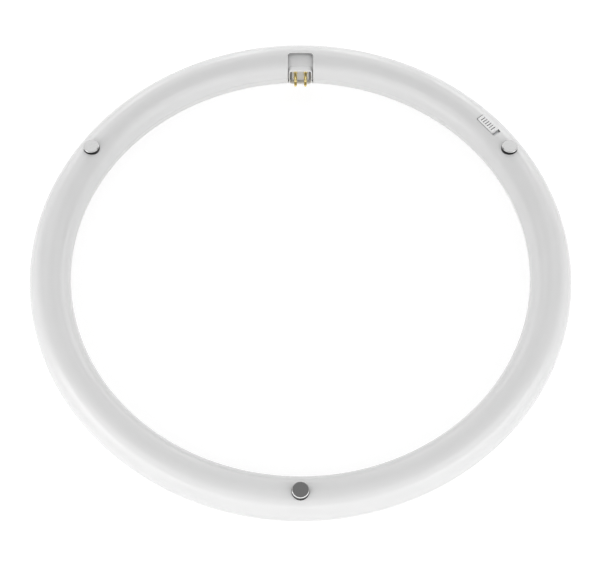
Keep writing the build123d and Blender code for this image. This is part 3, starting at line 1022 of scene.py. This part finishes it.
def groove_height(tree):
    """Height on the slider within its row of grooves, rising steeply past the row's sides and ends."""
    row_half = groove_places[-1] + groove_width / 2
    across = math_node(tree, "ABSOLUTE", offset_from_crown(tree))
    along = math_node(tree, "ABSOLUTE", along_slider(tree))
    past_side = math_node(tree, "SUBTRACT", across, groove_half)
    past_end = math_node(tree, "SUBTRACT", along, row_half)
    past = math_node(tree, "MAXIMUM", past_side, past_end)
    beside = math_node(tree, "ADD", math_node(tree, "MULTIPLY", past, groove_steepness), groove_floor)
    return math_node(tree, "MAXIMUM", height_above_floor(tree), beside)


def paint(piece, material):
    """Give a piece one material all over."""
    piece.data.materials.clear()
    piece.data.materials.append(material)


def add_piece(piece, name, node, body, material):
    """Name a finished piece, paint it and let it stand for its node."""
    piece.name = name
    piece.data.name = name
    paint(piece, material)
    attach(piece, body)
    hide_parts(node)


def ease(tree, value, span, limits):
    """Let a value rise softly from one limit to the other over a span."""
    node = tree.nodes.new("ShaderNodeMapRange")
    node.interpolation_type = "SMOOTHSTEP"
    for socket, number in zip(("From Min", "From Max", "To Min", "To Max"), (*span, *limits)):
        node.inputs[socket].default_value = number
    tree.links.new(value, node.inputs["Value"])
    return node.outputs["Result"]


def seen_or_mirrored(tree):
    """1 where the camera, a reflection or glass looks, and 0 for all other light."""
    path = tree.nodes.new("ShaderNodeLightPath").outputs
    seen = math_node(tree, "MAXIMUM", path["Is Camera Ray"], path["Is Glossy Ray"])
    return math_node(tree, "MAXIMUM", seen, path["Is Transmission Ray"])


def matte(tree, tone):
    """Matte shader of a grey tone."""
    shader = tree.nodes.new("ShaderNodeBsdfDiffuse")
    shader.inputs["Color"].default_value = (tone, tone, tone, 1)
    return shader.outputs[0]


def pale_floor():
    """White floor that keeps a soft shadow where the camera or a reflection sees it."""
    floor = add_primitive("floor", bpy.ops.mesh.primitive_plane_add, size=floor_size)
    material, tree, shader = new_material("pale_floor")
    tree.nodes.remove(shader)
    place = tree.nodes.new("ShaderNodeTexCoord").outputs["Object"]
    reach = vector_node(tree, "LENGTH", place)["Value"]
    glow = tree.nodes.new("ShaderNodeEmission")
    tree.links.new(ease(tree, reach, glow_span, glow_limits), glow.inputs["Strength"])
    white = tree.nodes.new("ShaderNodeAddShader")
    tree.links.new(matte(tree, shadow_tone), white.inputs[0])
    tree.links.new(glow.outputs[0], white.inputs[1])
    mix = tree.nodes.new("ShaderNodeMixShader")
    tree.links.new(seen_or_mirrored(tree), mix.inputs[0])
    tree.links.new(matte(tree, floor_tone), mix.inputs[1])
    tree.links.new(white.outputs[0], mix.inputs[2])
    tree.links.new(mix.outputs[0], tree.nodes["Material Output"].inputs["Surface"])
    paint(floor, material)


def studio_world():
    """Even, dim sky, so that the lamps shape the tube, over a white horizon."""
    world = bpy.data.worlds.new("studio")
    bpy.context.scene.world = world
    world.use_nodes = True
    tree = world.node_tree
    parts = tree.nodes.new("ShaderNodeSeparateXYZ")
    tree.links.new(tree.nodes.new("ShaderNodeTexCoord").outputs["Generated"], parts.inputs[0])
    low = ease(tree, parts.outputs["Z"], horizon_span, (1, 0))
    white = math_node(tree, "MULTIPLY", low, seen_or_mirrored(tree))
    sky = tree.nodes["Background"].inputs
    sky["Color"].default_value = (1, 1, 1, 1)
    tree.links.new(ease(tree, white, (0, 1), (sky_light, 1)), sky["Strength"])


def strip_lamps(name, angles, strip, radiance):
    """Row of soft lamps round the ring that face its tube, with their brightness given as seen."""
    for number, angle in enumerate(angles, start=1):
        lamp = bpy.data.lights.new(f"{name}_{number}", "AREA")
        lamp.shape = "RECTANGLE"
        lamp.size = strip["width"]
        lamp.size_y = strip["depth"]
        lamp.energy = radiance * pi * lamp.size * lamp.size_y
        box = bpy.data.objects.new(lamp.name, lamp)
        bpy.context.scene.collection.objects.link(box)
        outward = Vector((cos(radians(angle)), sin(radians(angle)), 0))
        box.location = outward * strip["reach"] + Vector((0, 0, strip["height"]))
        aim = outward * ring_radius + Vector((0, 0, axis_height))
        box.rotation_euler = (aim - box.location).to_track_quat("-Z", "Y").to_euler()
        box.visible_camera = False


def photo_camera():
    """Camera at the photograph's height, distance and angle of view."""
    lens = bpy.data.cameras.new("camera")
    lens.lens = camera_lens
    lens.sensor_width = camera_sensor
    lens.sensor_fit = "HORIZONTAL"
    camera = bpy.data.objects.new("camera", lens)
    bpy.context.scene.collection.objects.link(camera)
    rise = radians(camera_elevation)
    camera.location = camera_target + camera_distance * Vector((0, -cos(rise), sin(rise)))
    camera.rotation_euler = (pi / 2 - rise, 0, 0)
    bpy.context.scene.camera = camera


# Finishes of the pieces that show
moulded_finish = surface_group()
white_shell = surface("white_shell", (0.79, 0.79, 0.79), (0.18, 0.26), mottle=0.015, specular=0.8)
opal_shell = surface("opal_shell", (0.81, 0.81, 0.805), (0.29, 0.38), mottle=0.015, specular=0.6)
plug_white = surface("plug_white", (0.78, 0.78, 0.78), (0.34, 0.46), specular=0.4)
slider_white = surface("slider_white", (0.86, 0.86, 0.86), (0.30, 0.42))
nickel = surface("nickel", (0.80, 0.80, 0.79), (0.10, 0.20), grain=5000.0, bump=0.01, metal=1.0)
brass = surface("brass", (0.94, 0.77, 0.33), (0.10, 0.20), mottle=0.12, grain=6000.0, metal=1.0)

# Painted shade: the barrel and the well are painted darker than the block's rim, darkest in the moat
well_shade_tones = [(moat_level, 0.48), (pedestal_level, 0.62)]
well_shade_tones += tones_from(drum_radius, ((0, 0.69), (tone_step, 0.90)))
tone_by_value(plug_white, well_depth, (0, plug_face), well_shade_tones)

# Painted shade: the housing is painted darker inside its wall, in the slot, window and pockets, than on its
# surface
wall_shade_steps = ((-1.5 * mm, 0.55), (-0.8 * mm, 0.36), (-0.4 * mm, 0.18), (-0.12 * mm, 0.79))
tone_by_value(white_shell, tube_distance, (0, tube_radius), tones_from(tube_radius, wall_shade_steps))

# Painted shade and a painted dark reflection: a magnet's side is painted darker than its face
chamfer_level = axis_height + magnet_top - magnet_chamfer
magnet_shade_tones = tones_from(chamfer_level, ((-tone_step, 0.03), (0, 0.54)))
tone_by_value(nickel, height_above_floor, tone_span, magnet_shade_tones)

# Painted shade: the slider's grooves are painted darker than its ribs
slider_shade_tones = tones_from(groove_floor, ((0, 0.22), (0.3 * mm, 0.36), (0.7 * mm, 0.92)))
tone_by_value(slider_white, groove_height, tone_span, slider_shade_tones)

# Finishes of the inner pieces, by their material slot
inner_looks = {
    "strap_brass": {"colour": (0.76, 0.56, 0.24), "gloss": (0.28, 0.42), "mottle": 0.15, "metal": 1.0},
    "cable_sheath": {"colour": (0.76, 0.76, 0.74), "gloss": (0.5, 0.65), "mottle": 0.05},
    "switch_steel": {"colour": (0.74, 0.75, 0.76), "gloss": (0.3, 0.45), "mottle": 0.1, "metal": 1.0},
    "switch_base_brown": {"colour": (0.19, 0.10, 0.05), "gloss": (0.45, 0.6), "mottle": 0.25},
    "driver_board_green": {"colour": (0.05, 0.24, 0.10), "gloss": (0.3, 0.45), "mottle": 0.2},
    "fuse_ceramic": {"colour": (0.74, 0.70, 0.62), "gloss": (0.25, 0.4), "mottle": 0.08},
    "moulding_black": {"colour": (0.03, 0.03, 0.03), "gloss": (0.4, 0.55), "mottle": 0.2},
    "capacitor_sleeve": {"colour": (0.05, 0.07, 0.10), "gloss": (0.2, 0.32), "mottle": 0.1},
    "capacitor_can": {"colour": (0.70, 0.71, 0.72), "gloss": (0.25, 0.4), "mottle": 0.06, "metal": 1.0},
    "choke_ferrite": {"colour": (0.09, 0.08, 0.08), "gloss": (0.55, 0.7), "mottle": 0.3},
    "led_board_white": {"colour": (0.80, 0.80, 0.77), "gloss": (0.4, 0.5), "mottle": 0.04},
    "led_phosphor": {"colour": (0.90, 0.70, 0.16), "gloss": (0.2, 0.3), "mottle": 0.08},
    "solder_tin": {"colour": (0.66, 0.67, 0.68), "gloss": (0.25, 0.45), "mottle": 0.12, "metal": 1.0},
}
inner_finishes = {slot: surface(slot, **look) for slot, look in inner_looks.items()}
for subpart in frame["record"]["subparts"]:
    if subpart["material_slot"] in inner_finishes:
        paint(frame["nodes"][subpart["node"]], inner_finishes[subpart["material_slot"]])

# Pieces that stand for their CAD nodes
add_piece(back_housing(), "housing_shell", "back_housing", "lamp_ring", white_shell)
add_piece(front_diffuser(), "diffuser_shell", "front_diffuser", "lamp_ring", opal_shell)
disc = disc_magnet()
for name, angle in magnet_angles.items():
    magnet = copy_of(disc)
    settle(magnet, tube_matrix(angle))
    add_piece(magnet, f"{name}_disc", name, "lamp_ring", nickel)
bpy.data.meshes.remove(disc.data)
add_piece(plug_drum(), "plug_body", "plug_drum", "plug", plug_white)
pin = contact_pin()
for number, (across, up) in enumerate(pin_places, start=1):
    turned = copy_of(pin)
    settle(turned, plug_matrix(across, up))
    add_piece(turned, f"turned_pin_{number}", f"contact_pin_{number}", "plug", brass)
bpy.data.meshes.remove(pin.data)
add_piece(switch_slider(), "slider_cap", "switch_slider", "slider", slider_white)

# Stage, light and camera
pale_floor()
studio_world()
for name, angles, strip, radiance in lamp_rows:
    strip_lamps(name, angles, strip, radiance)
photo_camera()
bpy.context.scene.view_settings.view_transform = "Standard"
